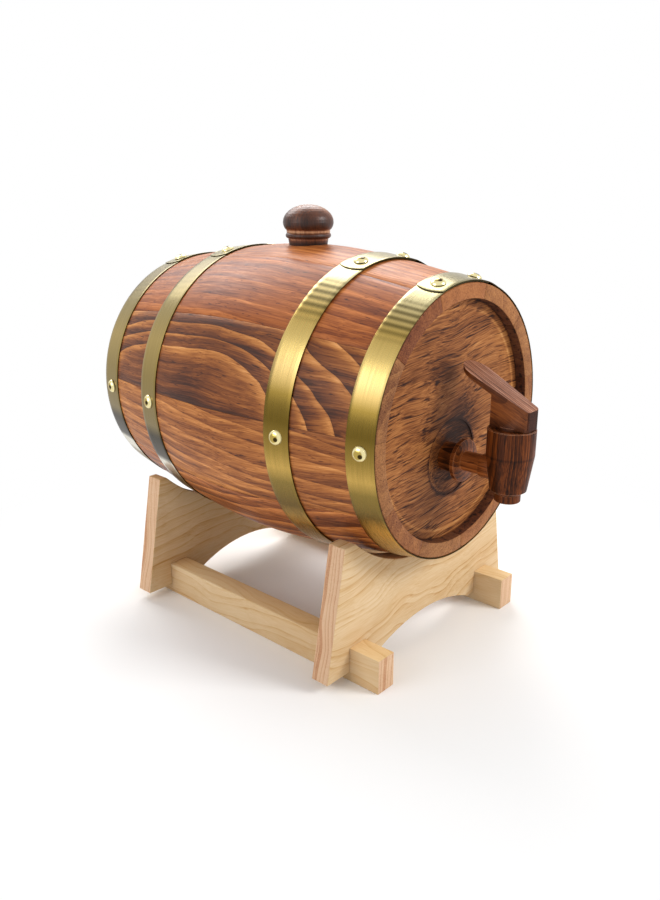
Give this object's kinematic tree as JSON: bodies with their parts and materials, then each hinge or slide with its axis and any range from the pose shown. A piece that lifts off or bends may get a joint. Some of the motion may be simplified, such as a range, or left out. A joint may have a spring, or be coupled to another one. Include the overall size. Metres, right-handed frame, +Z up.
{
  "type": "oak cask liquor dispenser",
  "caption": "Small hooped stave cask lying on a two-board cradle, with a turned wooden lever tap in its head and a knob bung on top.",
  "frame": {"origin": "on the surface the stand rests on, at the middle of the overall length and width", "axes": "+Z up, -Y the way the tap faces, +X to the right of someone facing the tap"},
  "size_m": [0.1774, 0.2634, 0.2463],
  "materials": {
    "stand_wood": "raw sawn pine, unstained",
    "stave_wood": "satin brown stain over striped pine grain",
    "head_wood": "dull dark brown stain",
    "hoop_brass": "rolled strip, satin with fine ripples",
    "nail_brass": "bright domed head",
    "bung_wood": "turned, dark lacquer, semi-gloss",
    "tap_wood": "turned, red-brown stain, satin"
  },
  "bodies": {
    "stand": {"board_front": "stand_wood", "board_rear": "stand_wood", "rail_left": "stand_wood", "rail_right": "stand_wood"},
    "cask": {"stave_1": "stave_wood", "stave_2": "stave_wood", "stave_3": "stave_wood", "stave_4": "stave_wood", "stave_5": "stave_wood", "stave_6": "stave_wood", "stave_7": "stave_wood", "stave_8": "stave_wood", "stave_9": "stave_wood", "stave_10": "stave_wood", "stave_11": "stave_wood", "head_front": "head_wood", "head_rear": "head_wood", "hoop_1": "hoop_brass", "hoop_2": "hoop_brass", "hoop_3": "hoop_brass", "hoop_4": "hoop_brass", "hoop_nails_1": "nail_brass", "hoop_nails_2": "nail_brass", "hoop_nails_3": "nail_brass", "hoop_nails_4": "nail_brass", "tap_body": "tap_wood", "tap_shank": "tap_wood"},
    "bung": {"bung": "bung_wood"},
    "key": {"tap_key": "tap_wood"}
  },
  "joints": [
    {"name": "cask_lift", "type": "slide", "parent": "stand", "child": "cask", "axis": [0, 0, 1], "range_m": [0, 0.1]},
    {"name": "bung_lift", "type": "slide", "parent": "cask", "child": "bung", "axis": [0, 0, 1], "range_m": [0, 0.045]},
    {"name": "key_turn", "type": "hinge", "parent": "cask", "child": "key", "pos_m": [0, -0.11905, 0.139], "axis": [0, 0, 1], "continuous": true}
  ]
}
